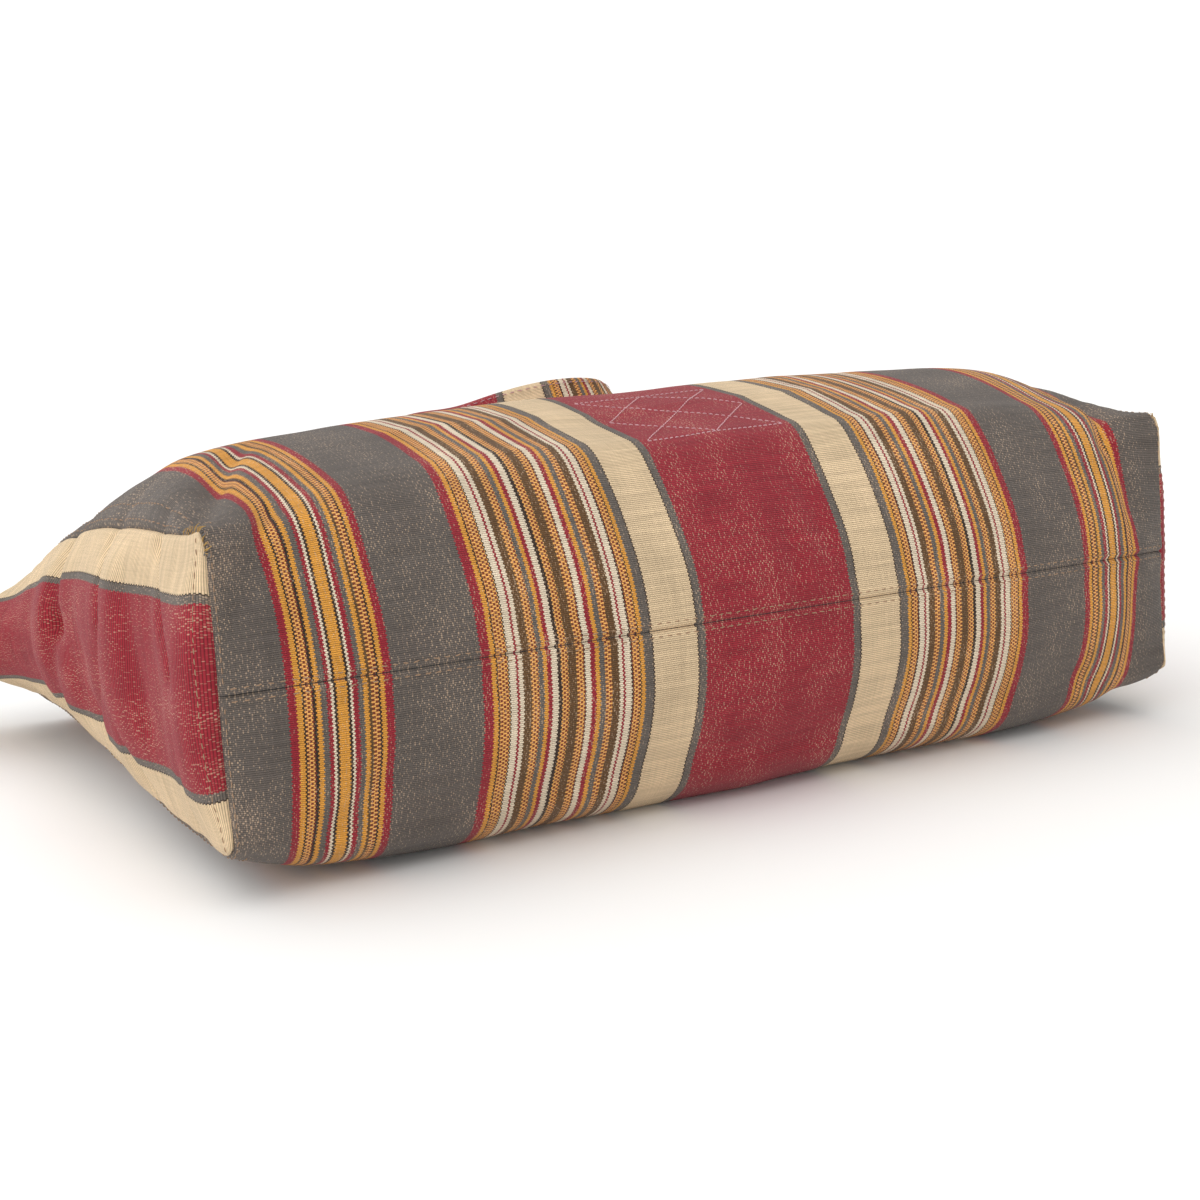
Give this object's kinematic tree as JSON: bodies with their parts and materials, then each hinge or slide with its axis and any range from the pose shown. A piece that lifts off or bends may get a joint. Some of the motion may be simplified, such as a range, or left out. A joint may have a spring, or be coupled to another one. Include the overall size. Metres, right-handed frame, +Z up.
{
  "type": "tote_bag",
  "caption": "Large striped woven cotton tote bag, filled out and lying on its back panel, with folding side gussets, an open mouth and two flat carrying straps.",
  "frame": {"origin": "Under the middle of the whole bag, on the surface that it lies on", "axes": "+X along the base seam, +Y from the base to the mouth, +Z up from the back panel to the front panel"},
  "size_m": [0.5718, 0.4534, 0.1599],
  "materials": {
    "striped_cloth": "ribbed weave of wine red, grey, beige, ochre, brown and cream stripes, matt",
    "striped_cloth_back": "the same ribbed striped weave on the back panel, matt",
    "gusset_cloth": "ribbed weave, wine red between grey and beige stripes, matt",
    "strap_cloth": "ribbed striped weave cut across its stripes and folded to a flat strap, matt"
  },
  "bodies": {
    "root": {"body_front": "striped_cloth", "body_back": "striped_cloth_back", "gusset_left": "gusset_cloth", "gusset_right": "gusset_cloth", "handle_front": "strap_cloth", "handle_back": "strap_cloth"}
  },
  "joints": []
}
